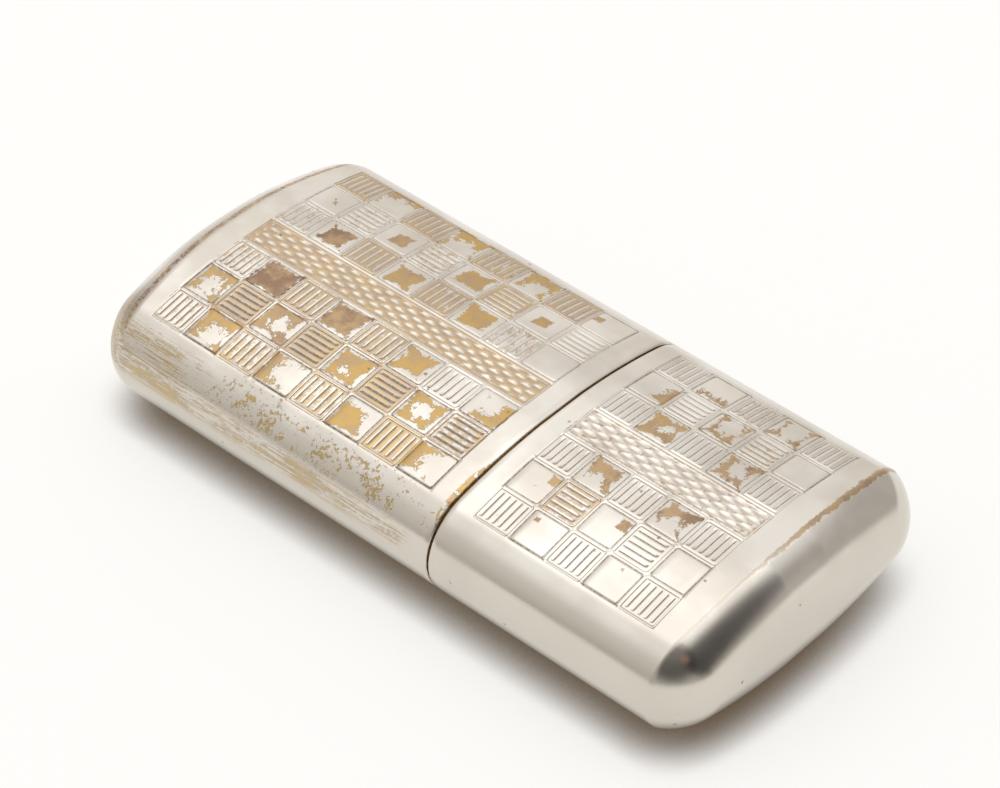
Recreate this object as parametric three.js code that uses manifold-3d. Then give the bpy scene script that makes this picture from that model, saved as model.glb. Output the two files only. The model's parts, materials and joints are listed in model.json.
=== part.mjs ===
// Flat pocket petrol lighter with a pull-off cap.
// Millimetres. +X runs from the tank's end to the cap's end, +Y across the width, +Z up through
// the thickness. The lighter lies on one broad face; the origin is under its middle.

import * as THREE from 'three';
import { mergeVertices } from 'three/addons/utils/BufferGeometryUtils.js';
import Module from 'manifold-3d';

const wasm = await Module();
wasm.setup();

// Outer form
const BODY_LENGTH = 36.4;
const CAP_LENGTH = 24.1;
const WIDTH = 29.2;
const THICKNESS = 11.2;
const CROWN_RADIUS = 50; // radius of the slight crown on both broad faces, across the width
const REST_WIDTH = 4.6; // flat strip along the middle of each broad face
const WALL = 0.6; // drawn brass sheet
const SEAM_GAP = 0.2;

// Rounded ends: length of the rounding, its slope in degrees where it leaves the broad face with
// a crease, and how far the crease and the end face bow back towards the corners
const BODY_END = { reach: 3.0, slope: 8, creaseBow: 1.3, faceBow: 0.95 };
const CAP_END = { reach: 2.8, slope: 25, creaseBow: 0.6, faceBow: 0 };

// Neck and deck
const COLLAR_WALL = 0.5;
const COLLAR_GAP = 0.1; // round the collar, to the case and to the cap
const COLLAR_DEPTH = 5; // into the case
const COLLAR_RISE = 5.5; // out of the case
const DECK_THICKNESS = 1;
const DECK_RISE = 1; // outer face of the deck above the seam
const FIT_GAP = 0.05; // round pieces that are pressed or soldered in

// Wheel and its bracket
const WHEEL_Y = -4.6;
const WHEEL_RISE = 10.5; // axle above the deck
const STRIKER_RADIUS = 4.2;
const STRIKER_OVER_FLINT = 0.15; // how far the striker stands past each side of the flint
const STRIKER_TEETH = 30;
const TOOTH_DEPTH = 0.35;
const TOOTH_LEAN = 0.8; // share of the pitch at which a tooth is highest
const THUMB_DISC_RADIUS = 4.7;
const KNURLS = 36;
const KNURL_DEPTH = 0.25;
const KNURL_LEAN = 0.5;
const HUB_RADIUS = 1.5;
const AXLE_RADIUS = 0.8;
const AXLE_CLEARANCE = 0.06;
const AXLE_HEAD_RADIUS = 1.3;
const AXLE_HEAD_THICKNESS = 0.35;
const BRACKET_THICKNESS = 0.6;
const BRACKET_WIDTH = 7;
const BRACKET_TOP_RADIUS = 2.3;
const BRACKET_CLEARANCE = 0.25; // to the collar outside it
const TENON_WIDTH = 3.6;
const WHEEL_SIDE_GAP = 0.2; // between the wheel and each cheek

// Flint feed
const FLINT_DIAMETER = 2.5;
const FLINT_LENGTH = 5;
const FLINT_GAP = 0.1; // to the tooth tips
const FLINT_TUBE_BORE = 2.75;
const FLINT_TUBE_WALL = 0.4;
const TUBE_TO_WHEEL = 0.4; // end of the tube to the thumb discs
const FOLLOWER_LENGTH = 2;
const FOLLOWER_GAP = 0.05;
const SPRING_DIAMETER = 2.2;
const SPRING_WIRE = 0.36;
const SPRING_TURNS = 26;
const STEM_DIAMETER = 1;
const STEM_LENGTH = 4;

// Screws in the tank's end, and the bushes that they turn in
const FLINT_SCREW = { y: WHEEL_Y, headRadius: 2.1, head: 1, threadRadius: 1.5, thread: 3, washer: 0 };
const FILLER_SCREW = { y: 5, headRadius: 2.5, head: 1, threadRadius: 1.9, thread: 3, washer: 0.6 };
const SCREW_CLEARANCE = 0.1; // round the head and the thread
const SLOT_WIDTH = 0.5;
const SLOT_DEPTH = 0.5;
const BUSH_WALL = 0.6;
const BUSH_RECESS = 0.15; // bush and screw heads below the end face
const SCREW_END_GAP = 0.3; // from the end of the thread to the tube
const TUBE_SOCKET = 1.4; // how far the tube goes into its bush

// Wick
const WICK_Y = 4.4;
const WICK_DIAMETER = 3;
const WICK_ABOVE_TUBE = 2.4;
const WICK_BELOW_DECK = 9;
const WICK_TUBE_WALL = 0.4;
const WICK_TUBE_GAP = 0.1;
const WICK_TUBE_HEIGHT = 10.2;
const WICK_TUBE_BELOW_DECK = 1;
const WICK_TIP = 0.75; // frayed, rounded end of the wick
const WICK_TUBE_FLANGE = 0.8;
const WICK_TUBE_FLANGE_THICKNESS = 0.5;

// Cotton wadding
const WADDING_GAP = 0.3; // to everything round it
const WADDING_ROUNDING = 1;

// Faceting
const SIDE_STEPS = 6;
const CROWN_STEPS = 5;
const END_STEPS = 7;
const ROUND_SEGMENTS = 24;
const SMALL_SEGMENTS = 16;
const ARC_SEGMENTS = 10;
const SPRING_STEPS_PER_TURN = 8;
const SPRING_SIDES = 5;
const CUT_PAST = 1; // how far a cutting solid runs past the face that it cuts
const MERGE_DISTANCE = 1e-4;

// Places that follow from the sizes above
const LENGTH = BODY_LENGTH + CAP_LENGTH;
const MID_Z = THICKNESS / 2;
const END_X = LENGTH / 2;
const SEAM_X = BODY_LENGTH - END_X;
const DECK_X = SEAM_X + DECK_RISE;
const WHEEL_X = DECK_X + WHEEL_RISE;
const COLLAR_INSET = WALL + COLLAR_GAP;
const NECK_INSET = COLLAR_INSET + COLLAR_WALL;

// Cross-section: a broad crown arc above and below, joined by tangent side arcs
const crownHalf = REST_WIDTH / 2;
const crownDrop = Math.sqrt(CROWN_RADIUS ** 2 - crownHalf ** 2) - THICKNESS / 2;
const crownToSide = CROWN_RADIUS - WIDTH / 2;
const sideY = (crownDrop ** 2 - crownToSide ** 2) / (2 * crownToSide);
const SIDE_RADIUS = WIDTH / 2 - sideY;
const SIDE_ANGLE = Math.atan2(sideY, crownDrop);
const SIDE_ROUNDING_SHARE = 0.97;

function sectionPoints(inset) {
  const quarter = [];
  for (let i = 0; i < SIDE_STEPS; i += 1) {
    const angle = ((Math.PI / 2 - SIDE_ANGLE) * i) / SIDE_STEPS;
    const radius = SIDE_RADIUS - inset;
    quarter.push([sideY + radius * Math.cos(angle), radius * Math.sin(angle)]);
  }
  const flatAngle = Math.asin(crownHalf / CROWN_RADIUS);
  for (let i = 0; i <= CROWN_STEPS; i += 1) {
    const angle = SIDE_ANGLE + ((flatAngle - SIDE_ANGLE) * i) / CROWN_STEPS;
    const radius = CROWN_RADIUS - inset;
    quarter.push([radius * Math.sin(angle), radius * Math.cos(angle) - crownDrop]);
  }
  const back = [...quarter].reverse();
  return [
    ...quarter,
    ...back.map(([y, z]) => [-y, z]),
    ...quarter.slice(1).map(([y, z]) => [-y, -z]),
    ...back.slice(0, -1).map(([y, z]) => [y, -z]),
  ];
}

// Height of the section above mid-thickness at a place across the width
function sectionHeight(inset, y) {
  return Math.sqrt((CROWN_RADIUS - inset) ** 2 - y ** 2) - crownDrop;
}

function ring(inset, xAt) {
  return sectionPoints(inset).map(([y, z]) => new THREE.Vector3(xAt(y), y, MID_Z + z));
}

// Closed solid through rings of equal count, from low X to high X
function loft(rings) {
  const count = rings[0].length;
  const points = rings.flat();
  const faces = [];
  for (let i = 0; i + 1 < rings.length; i += 1) {
    for (let j = 0; j < count; j += 1) {
      const next = (j + 1) % count;
      const a = i * count + j;
      const b = i * count + next;
      faces.push(a, b, b + count, a, b + count, a + count);
    }
  }
  const last = (rings.length - 1) * count;
  const lowX = Math.min(...rings[0].map((p) => p.x));
  const highX = Math.max(...rings[rings.length - 1].map((p) => p.x));
  const low = points.push(new THREE.Vector3(lowX, 0, MID_Z)) - 1;
  const high = points.push(new THREE.Vector3(highX, 0, MID_Z)) - 1;
  for (let j = 0; j < count; j += 1) {
    const next = (j + 1) % count;
    faces.push(low, next, j, high, last + j, last + next);
  }
  const geometry = new THREE.BufferGeometry().setFromPoints(points);
  geometry.setIndex(faces);
  return geometry;
}

function prism(inset, fromX, toX) {
  return loft([ring(inset, () => fromX), ring(inset, () => toX)]);
}

// Rings of one rounded end, from the crease out to the end face. The inner face of the wall is
// the same arc with a smaller radius. The rounding goes no deeper than the side arc is round.
function endRings(end, wall, side) {
  const slope = THREE.MathUtils.degToRad(end.slope);
  const mostDrop = SIDE_ROUNDING_SHARE * SIDE_RADIUS;
  const radius = Math.min(end.reach / (1 - Math.sin(slope)), mostDrop / Math.cos(slope));
  const drop = radius * Math.cos(slope);
  const start = Math.acos((drop - wall) / (radius - wall));
  const rings = [];
  for (let i = 0; i <= END_STEPS; i += 1) {
    const share = i / END_STEPS;
    const angle = start + (Math.PI / 2 - start) * share;
    const inset = drop - (radius - wall) * Math.cos(angle);
    const back = radius - (radius - wall) * Math.sin(angle);
    const bow = THREE.MathUtils.lerp(end.creaseBow, end.faceBow, share);
    rings.push(ring(inset, (y) => side * (END_X - back - bow * (y / (WIDTH / 2)) ** 2)));
  }
  return rings;
}

function bodyEndX(y) {
  return -END_X + BODY_END.faceBow * (y / (WIDTH / 2)) ** 2;
}

function toManifold(geometry, matrix = new THREE.Matrix4()) {
  const plain = geometry.clone().applyMatrix4(matrix);
  plain.deleteAttribute('normal');
  plain.deleteAttribute('uv');
  const merged = mergeVertices(plain, MERGE_DISTANCE);
  return new wasm.Manifold(new wasm.Mesh({
    numProp: 3,
    vertProperties: merged.attributes.position.array,
    triVerts: Uint32Array.from(merged.index.array),
  }));
}

function fromManifold(solid) {
  const mesh = solid.getMesh();
  const geometry = new THREE.BufferGeometry();
  geometry.setAttribute('position', new THREE.BufferAttribute(mesh.vertProperties, 3));
  geometry.setIndex(new THREE.BufferAttribute(mesh.triVerts, 1));
  geometry.computeVertexNormals();
  return geometry;
}

// Turned solid along +X: a list of [distance along X, radius], from the low end to the high end
function turned(profile, segments = ROUND_SEGMENTS) {
  const points = profile.map(([x, radius]) => new THREE.Vector2(radius, x));
  return new THREE.LatheGeometry(points, segments).rotateZ(-Math.PI / 2);
}

function turnedRod(fromX, toX, radius, segments) {
  return turned([[fromX, 0], [fromX, radius], [toX, radius], [toX, 0]], segments);
}

function turnedTube(fromX, toX, outer, inner, segments) {
  return turned([[fromX, inner], [fromX, outer], [toX, outer], [toX, inner], [fromX, inner]], segments);
}

function atAxis(y) {
  return new THREE.Matrix4().makeTranslation(0, y, MID_Z);
}

const lighter = new THREE.Group();
lighter.name = 'petrol_lighter';

function addPiece(name, geometry, look, place = new THREE.Vector3()) {
  const mesh = new THREE.Mesh(geometry, new THREE.MeshStandardMaterial(look));
  mesh.name = name;
  mesh.position.copy(place);
  lighter.add(mesh);
  return mesh;
}

const onFlintAxis = new THREE.Vector3(0, WHEEL_Y, MID_Z);
const onWickAxis = new THREE.Vector3(0, WICK_Y, MID_Z);
const onFillerAxis = new THREE.Vector3(0, FILLER_SCREW.y, MID_Z);

const NICKEL = { color: 0xc9c3b8, roughness: 0.28, metalness: 1 };
const BRASS = { color: 0xc9a558, roughness: 0.35, metalness: 1 };
const STEEL = { color: 0x8d8d8b, roughness: 0.4, metalness: 1 };
const FLINT_GREY = { color: 0x55524e, roughness: 0.6, metalness: 0.6 };
const COTTON = { color: 0xe6dfcf, roughness: 0.95, metalness: 0 };
const LEATHER = { color: 0x5b3b24, roughness: 0.8, metalness: 0 };

// Bushes: turned brass sleeves soldered in the end wall, with a recess for the screw's head, the
// threaded bore, and at the flint bush a socket for the tube
function bushSizes(size) {
  const face = bodyEndX(size.y) + BUSH_RECESS;
  const seat = face + size.head + size.washer + FIT_GAP * (size.washer > 0 ? 2 : 1);
  const recess = size.headRadius + SCREW_CLEARANCE;
  return {
    face,
    seat,
    boreEnd: seat + size.thread + SCREW_END_GAP,
    recess,
    bore: size.threadRadius + SCREW_CLEARANCE,
    outer: recess + BUSH_WALL,
  };
}

function bush(screwSize, socketRadius, socketDepth) {
  const { face, seat, boreEnd, recess, bore, outer } = bushSizes(screwSize);
  const inner = boreEnd + socketDepth;
  const socket = socketDepth > 0
    ? [[inner, socketRadius], [boreEnd, socketRadius], [boreEnd, bore]]
    : [[inner, bore]];
  return turned([
    [face, recess],
    [face, outer],
    [inner, outer],
    ...socket,
    [seat, bore],
    [seat, recess],
    [face, recess],
  ]);
}

// Slotted screw whose head faces the tank's end
function screw(size, stemRadius, stemLength) {
  const { face, seat } = bushSizes(size);
  const headEnd = face + size.head;
  const threadEnd = seat + size.thread;
  const stem = stemLength > 0
    ? [[threadEnd, stemRadius], [threadEnd + stemLength, stemRadius], [threadEnd + stemLength, 0]]
    : [[threadEnd, 0]];
  const blank = turned([
    [face, 0],
    [face, size.headRadius],
    [headEnd, size.headRadius],
    [headEnd, size.threadRadius],
    [threadEnd, size.threadRadius],
    ...stem,
  ]);
  const across = 2 * (size.headRadius + CUT_PAST);
  const slot = new THREE.BoxGeometry(SLOT_DEPTH * 2, across, SLOT_WIDTH);
  return fromManifold(toManifold(blank).subtract(
    toManifold(slot, new THREE.Matrix4().makeTranslation(face, 0, 0)),
  ));
}

// Body case: the tank's drawn shell, with a hole in its end for each bush
function bodyCase() {
  const mouth = SEAM_X - SEAM_GAP / 2;
  const outer = loft([...endRings(BODY_END, 0, -1).reverse(), ring(0, () => mouth)]);
  const cavity = loft([...endRings(BODY_END, WALL, -1).reverse(), ring(WALL, () => SEAM_X + CUT_PAST)]);
  let solid = toManifold(outer).subtract(toManifold(cavity));
  for (const size of [FLINT_SCREW, FILLER_SCREW]) {
    const { face, boreEnd, outer: bushRadius } = bushSizes(size);
    const hole = turnedRod(face - BUSH_RECESS - CUT_PAST, boreEnd, bushRadius + FIT_GAP);
    solid = solid.subtract(toManifold(hole, atAxis(size.y)));
  }
  return fromManifold(solid);
}

function capShell() {
  const mouth = SEAM_X + SEAM_GAP / 2;
  const outer = loft([ring(0, () => mouth), ...endRings(CAP_END, 0, 1)]);
  const cavity = loft([ring(WALL, () => SEAM_X - CUT_PAST), ...endRings(CAP_END, WALL, 1)]);
  return fromManifold(toManifold(outer).subtract(toManifold(cavity)));
}

function neckCollar() {
  const outer = prism(COLLAR_INSET, SEAM_X - COLLAR_DEPTH, SEAM_X + COLLAR_RISE);
  const inner = prism(NECK_INSET, SEAM_X - COLLAR_DEPTH - CUT_PAST, SEAM_X + COLLAR_RISE + CUT_PAST);
  return fromManifold(toManifold(outer).subtract(toManifold(inner)));
}

// Half-heights through the thickness of the wheel's bracket and stack
const bracketEdge = Math.max(Math.abs(WHEEL_Y) + BRACKET_WIDTH / 2, crownHalf);
const cheekOuter = sectionHeight(NECK_INSET, bracketEdge) - BRACKET_CLEARANCE;
const cheekInner = cheekOuter - BRACKET_THICKNESS;
const stackHalf = cheekInner - WHEEL_SIDE_GAP;
const strikerHalf = FLINT_DIAMETER / 2 + STRIKER_OVER_FLINT;
const flintTubeRadius = FLINT_TUBE_BORE / 2 + FLINT_TUBE_WALL;
const wickTubeBore = WICK_DIAMETER / 2 + WICK_TUBE_GAP;
const wickTubeRadius = wickTubeBore + WICK_TUBE_WALL;

function deckPlate() {
  let solid = toManifold(prism(NECK_INSET + FIT_GAP, DECK_X - DECK_THICKNESS, DECK_X));
  const through = [DECK_X - DECK_THICKNESS - CUT_PAST, DECK_X + CUT_PAST];
  const flintHole = turnedRod(...through, flintTubeRadius + FIT_GAP);
  const wickHole = turnedRod(...through, wickTubeRadius + FIT_GAP);
  solid = solid.subtract(toManifold(flintHole, atAxis(WHEEL_Y)));
  solid = solid.subtract(toManifold(wickHole, atAxis(WICK_Y)));
  const slot = new THREE.BoxGeometry(
    DECK_THICKNESS + 2 * CUT_PAST,
    TENON_WIDTH + 2 * FIT_GAP,
    BRACKET_THICKNESS + 2 * FIT_GAP,
  );
  for (const side of [1, -1]) {
    const z = MID_Z + side * (cheekInner + cheekOuter) / 2;
    const place = new THREE.Matrix4().makeTranslation(DECK_X - DECK_THICKNESS / 2, WHEEL_Y, z);
    solid = solid.subtract(toManifold(slot, place));
  }
  return fromManifold(solid);
}

// Cheek of the bracket: a tapered plate with a round top, a hole for the axle and a tenon
function bracketCheek() {
  const foot = BRACKET_WIDTH / 2;
  const tenon = TENON_WIDTH / 2;
  const tenonX = DECK_X - DECK_THICKNESS;
  const base = DECK_X + FIT_GAP;
  const shape = new THREE.Shape();
  shape.moveTo(tenonX, -tenon);
  shape.lineTo(tenonX, tenon);
  shape.lineTo(base, tenon);
  shape.lineTo(base, foot);
  shape.lineTo(WHEEL_X, BRACKET_TOP_RADIUS);
  shape.absarc(WHEEL_X, 0, BRACKET_TOP_RADIUS, Math.PI / 2, -Math.PI / 2, true);
  shape.lineTo(base, -foot);
  shape.lineTo(base, -tenon);
  shape.closePath();
  const hole = new THREE.Path();
  hole.absarc(WHEEL_X, 0, AXLE_RADIUS + FIT_GAP, 0, Math.PI * 2);
  shape.holes.push(hole);
  return new THREE.ExtrudeGeometry(shape, {
    depth: BRACKET_THICKNESS,
    bevelEnabled: false,
    curveSegments: ARC_SEGMENTS,
  });
}

// Toothed disc with a round hole. A tooth that leans has a steep face on one side.
function toothedDisc({ radius, depth, count, lean }, bore, thickness) {
  const shape = new THREE.Shape();
  for (let i = 0; i < count; i += 1) {
    const root = (i / count) * Math.PI * 2;
    const tip = ((i + lean) / count) * Math.PI * 2;
    const low = radius - depth;
    if (i === 0) {
      shape.moveTo(low * Math.cos(root), low * Math.sin(root));
    } else {
      shape.lineTo(low * Math.cos(root), low * Math.sin(root));
    }
    shape.lineTo(radius * Math.cos(tip), radius * Math.sin(tip));
  }
  shape.closePath();
  const hole = new THREE.Path();
  hole.absarc(0, 0, bore, 0, Math.PI * 2);
  shape.holes.push(hole);
  return new THREE.ExtrudeGeometry(shape, {
    depth: thickness,
    bevelEnabled: false,
    curveSegments: ARC_SEGMENTS,
  });
}

// Turned piece with its axis along Z
function turnedUpright(profile) {
  const points = profile.map(([z, radius]) => new THREE.Vector2(radius, z));
  return new THREE.LatheGeometry(points, SMALL_SEGMENTS).rotateX(Math.PI / 2);
}

function wheelAxle() {
  const headStart = cheekOuter + FIT_GAP;
  const headEnd = headStart + AXLE_HEAD_THICKNESS;
  return turnedUpright([
    [-headEnd, 0],
    [-headEnd, AXLE_HEAD_RADIUS],
    [-headStart, AXLE_HEAD_RADIUS],
    [-headStart, AXLE_RADIUS],
    [headStart, AXLE_RADIUS],
    [headStart, AXLE_HEAD_RADIUS],
    [headEnd, AXLE_HEAD_RADIUS],
    [headEnd, 0],
  ]);
}

function wheelHub() {
  const bore = AXLE_RADIUS + AXLE_CLEARANCE;
  return turnedUpright([
    [-stackHalf, bore],
    [-stackHalf, HUB_RADIUS],
    [stackHalf, HUB_RADIUS],
    [stackHalf, bore],
    [-stackHalf, bore],
  ]);
}

// Places along the flint tube
const flintTip = WHEEL_X - STRIKER_RADIUS - FLINT_GAP;
const flintTail = flintTip - FLINT_LENGTH;
const followerTip = flintTail - FOLLOWER_GAP;
const followerTail = followerTip - FOLLOWER_LENGTH;
const flintBush = bushSizes(FLINT_SCREW);
const tubeStart = flintBush.boreEnd + FIT_GAP;
const tubeEnd = WHEEL_X - THUMB_DISC_RADIUS - TUBE_TO_WHEEL;
const springStart = flintBush.seat + FLINT_SCREW.thread + SPRING_WIRE / 2 + FIT_GAP;
const springEnd = followerTail - SPRING_WIRE / 2 - FIT_GAP;

class SpringPath extends THREE.Curve {
  getPoint(share, target = new THREE.Vector3()) {
    const angle = share * SPRING_TURNS * Math.PI * 2;
    const radius = (SPRING_DIAMETER - SPRING_WIRE) / 2;
    return target.set(
      THREE.MathUtils.lerp(springStart, springEnd, share),
      radius * Math.cos(angle),
      radius * Math.sin(angle),
    );
  }
}

function flintSpring() {
  const wire = new THREE.Shape();
  for (let i = 0; i < SPRING_SIDES; i += 1) {
    const angle = (i / SPRING_SIDES) * Math.PI * 2;
    const x = (SPRING_WIRE / 2) * Math.cos(angle);
    const y = (SPRING_WIRE / 2) * Math.sin(angle);
    if (i === 0) {
      wire.moveTo(x, y);
    } else {
      wire.lineTo(x, y);
    }
  }
  wire.closePath();
  return new THREE.ExtrudeGeometry(wire, {
    steps: SPRING_TURNS * SPRING_STEPS_PER_TURN,
    bevelEnabled: false,
    extrudePath: new SpringPath(),
  });
}

function wickTube() {
  const inner = wickTubeBore;
  const low = DECK_X - DECK_THICKNESS - WICK_TUBE_BELOW_DECK;
  const flangeLow = DECK_X + FIT_GAP;
  const flangeHigh = flangeLow + WICK_TUBE_FLANGE_THICKNESS;
  const high = DECK_X + WICK_TUBE_HEIGHT;
  return turned([
    [low, inner],
    [low, wickTubeRadius],
    [flangeLow, wickTubeRadius],
    [flangeLow, wickTubeRadius + WICK_TUBE_FLANGE],
    [flangeHigh, wickTubeRadius + WICK_TUBE_FLANGE],
    [flangeHigh, wickTubeRadius],
    [high, wickTubeRadius],
    [high, inner],
    [low, inner],
  ]);
}

const wickLow = DECK_X - WICK_BELOW_DECK;
const wickHigh = DECK_X + WICK_TUBE_HEIGHT + WICK_ABOVE_TUBE;

function wick() {
  const radius = WICK_DIAMETER / 2;
  return turned([
    [wickLow, 0],
    [wickLow, radius],
    [wickHigh - WICK_TIP, radius],
    [wickHigh, radius / 2],
    [wickHigh, 0],
  ]);
}

// Cotton wadding: fills the tank between the bushes and the deck, round the flint tube and wick
function wadding() {
  const inset = NECK_INSET + WADDING_GAP;
  const bushEnd = Math.max(flintBush.boreEnd + TUBE_SOCKET, bushSizes(FILLER_SCREW).boreEnd);
  const low = bushEnd + WADDING_GAP;
  const high = DECK_X - DECK_THICKNESS - WICK_TUBE_BELOW_DECK - WADDING_GAP;
  const rounded = inset + WADDING_ROUNDING;
  const block = loft([
    ring(rounded, () => low),
    ring(inset, () => low + WADDING_ROUNDING),
    ring(inset, () => high - WADDING_ROUNDING),
    ring(rounded, () => high),
  ]);
  const tubeWay = turnedRod(low - CUT_PAST, high + CUT_PAST, flintTubeRadius + WADDING_GAP);
  const wickWay = turnedRod(wickLow - WADDING_GAP, high + CUT_PAST, WICK_DIAMETER / 2 + WADDING_GAP);
  return fromManifold(
    toManifold(block)
      .subtract(toManifold(tubeWay, atAxis(WHEEL_Y)))
      .subtract(toManifold(wickWay, atAxis(WICK_Y))),
  );
}

function fillerWasher() {
  const { seat, recess, bore } = bushSizes(FILLER_SCREW);
  const high = seat - FIT_GAP;
  return turnedTube(high - FILLER_SCREW.washer, high, recess - FIT_GAP, bore);
}

addPiece('body_case', bodyCase(), NICKEL);
addPiece('cap_shell', capShell(), NICKEL);
addPiece('neck_collar', neckCollar(), BRASS);
addPiece('deck_plate', deckPlate(), BRASS);

const atBracket = (z) => new THREE.Vector3(0, WHEEL_Y, MID_Z + z);
const atWheel = (z) => new THREE.Vector3(WHEEL_X, WHEEL_Y, MID_Z + z);
addPiece('bracket_upper', bracketCheek(), BRASS, atBracket(cheekInner));
addPiece('bracket_lower', bracketCheek(), BRASS, atBracket(-cheekOuter));
addPiece('wheel_axle', wheelAxle(), STEEL, atWheel(0));
addPiece('wheel_hub', wheelHub(), BRASS, atWheel(0));

const discBore = HUB_RADIUS + FIT_GAP;
const discLow = strikerHalf + FIT_GAP;
const discThickness = stackHalf - discLow;
const tooth = { radius: STRIKER_RADIUS, depth: TOOTH_DEPTH, count: STRIKER_TEETH, lean: TOOTH_LEAN };
const knurl = { radius: THUMB_DISC_RADIUS, depth: KNURL_DEPTH, count: KNURLS, lean: KNURL_LEAN };
addPiece('striker_wheel', toothedDisc(tooth, discBore, strikerHalf * 2), STEEL, atWheel(-strikerHalf));
for (const [name, low] of [['thumb_disc_upper', discLow], ['thumb_disc_lower', -stackHalf]]) {
  addPiece(name, toothedDisc(knurl, discBore, discThickness), BRASS, atWheel(low));
}

const flintTube = turnedTube(tubeStart, tubeEnd, flintTubeRadius, FLINT_TUBE_BORE / 2);
addPiece('flint_tube', flintTube, BRASS, onFlintAxis);
const flintRod = turnedRod(flintTail, flintTip, FLINT_DIAMETER / 2, SMALL_SEGMENTS);
addPiece('flint', flintRod, FLINT_GREY, onFlintAxis);
const follower = turnedRod(followerTail, followerTip, FLINT_DIAMETER / 2, SMALL_SEGMENTS);
addPiece('flint_follower', follower, BRASS, onFlintAxis);
addPiece('flint_spring', flintSpring(), STEEL, onFlintAxis);
addPiece('flint_screw', screw(FLINT_SCREW, STEM_DIAMETER / 2, STEM_LENGTH), BRASS, onFlintAxis);
addPiece('flint_bush', bush(FLINT_SCREW, flintTubeRadius + FIT_GAP, TUBE_SOCKET), BRASS, onFlintAxis);

addPiece('wick_tube', wickTube(), BRASS, onWickAxis);
addPiece('wick', wick(), COTTON, onWickAxis);
addPiece('wadding', wadding(), COTTON);

addPiece('filler_bush', bush(FILLER_SCREW, 0, 0), BRASS, onFillerAxis);
addPiece('filler_washer', fillerWasher(), LEATHER, onFillerAxis);
addPiece('filler_screw', screw(FILLER_SCREW, 0, 0), BRASS, onFillerAxis);

export default lighter;
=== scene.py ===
"""Looks of the flat petrol lighter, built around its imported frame.

Blender works in metres; the sizes below are in millimetres and MM turns one into the other.
+X runs towards the cap's end, +Y across the width, +Z up through the thickness.
"""

import json
import math
from types import SimpleNamespace

import bpy
import numpy as np
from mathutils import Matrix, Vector


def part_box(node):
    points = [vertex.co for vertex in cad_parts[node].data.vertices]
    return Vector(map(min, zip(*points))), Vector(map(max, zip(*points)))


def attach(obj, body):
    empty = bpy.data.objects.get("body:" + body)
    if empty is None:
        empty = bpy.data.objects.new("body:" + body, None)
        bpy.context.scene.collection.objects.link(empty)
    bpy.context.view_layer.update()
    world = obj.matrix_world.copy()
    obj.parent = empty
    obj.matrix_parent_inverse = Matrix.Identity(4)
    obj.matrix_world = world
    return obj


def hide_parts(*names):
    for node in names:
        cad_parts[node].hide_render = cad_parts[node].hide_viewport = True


MM = 0.001

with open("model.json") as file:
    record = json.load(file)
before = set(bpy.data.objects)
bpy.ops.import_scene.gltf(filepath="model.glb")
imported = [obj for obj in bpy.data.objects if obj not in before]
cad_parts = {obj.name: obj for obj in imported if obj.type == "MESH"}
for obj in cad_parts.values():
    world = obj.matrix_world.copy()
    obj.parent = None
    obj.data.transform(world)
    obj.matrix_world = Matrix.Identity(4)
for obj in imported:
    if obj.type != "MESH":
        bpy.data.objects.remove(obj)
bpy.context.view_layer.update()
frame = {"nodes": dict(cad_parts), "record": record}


def box_mm(node):
    low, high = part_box(node)
    return Vector(low) / MM, Vector(high) / MM


# Outer form, as in the frame
BODY_LOW, BODY_HIGH = box_mm("body_case")
CAP_LOW, CAP_HIGH = box_mm("cap_shell")
HALF_WIDTH = BODY_HIGH.y
HALF_THICK = BODY_HIGH.z / 2
CROWN_RADIUS = 50.0
REST_HALF = 2.3
WALL = 0.6
SIDE_ROUNDING_SHARE = 0.97
BODY_END = {"reach": 3.0, "slope": 8.0, "crease_bow": 1.3, "face_bow": 0.95}
CAP_END = {"reach": 2.8, "slope": 25.0, "crease_bow": 0.6, "face_bow": 0.0}
SEAM_X = (BODY_HIGH.x + CAP_LOW.x) / 2

# Holes for the bushes, from before the hidden end to past its wall
BUSHES = ("flint_bush", "filler_bush")
BUSH_GAP = 0.05
HOLE_START, HOLE_STOP = -1.0, 4.0
HOLE_SIDES = 96

# Engine turning: rows counted from the near edge, a band in the middle, columns from the left
ROWS = 6
ROW_PITCH = 3.36
BAND_WIDTH = 3.5
BODY_PITCH = 3.7
BODY_COLUMNS = 8
BODY_FIRST_SHORT = 0.3
BODY_PATTERN_END = 4.05
CAP_PITCH = 3.434
CAP_COLUMNS = 5
CAP_PATTERN_START = 7.93
PATTERN_HALF = BAND_WIDTH / 2 + ROWS / 2 * ROW_PITCH
BAND = 0
STRIPES_ALONG_X = (2, 5)
# Distance from the middle to the row whose groove bottoms get painted shade
SHADED_ROW = BAND_WIDTH / 2 + 1.5 * ROW_PITCH

# Relief of the engine turning: depths, places and half widths of its lines
BORDER_DEPTH = 0.05
BORDER_PLACE = 0.15
BORDER_HALF = 0.075
OUTLINE_DEPTH = 0.05
RIDGE_DROP = 0.02
CORNER_RADIUS = 0.38
PILLOW_DROP = 0.02
GROOVES = 5
GROOVE_FIRST = 0.56
GROOVE_DEPTH = 0.075
GROOVE_HALF = 0.17
GROOVE_END = 0.34
LENS_PITCH = 1.83
LENS_ROWS = 5
LENS_STEPS = 4
LENS_DEPTH = 0.09
BAND_RIM = 0.65
LENS_EDGE = 0.42
LENS_EDGE_HALF = 0.08
LENS_START = LENS_EDGE + 0.05
DEEPEST = 0.1

# Cross-section of the case: crown arcs joined by tangent side arcs
crown_drop = math.sqrt(CROWN_RADIUS**2 - REST_HALF**2) - HALF_THICK
crown_to_side = CROWN_RADIUS - HALF_WIDTH
side_y = (crown_drop**2 - crown_to_side**2) / (2 * crown_to_side)
SIDE_RADIUS = HALF_WIDTH - side_y
CROWN_Y = CROWN_RADIUS * math.sin(math.atan2(side_y, crown_drop))


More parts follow.
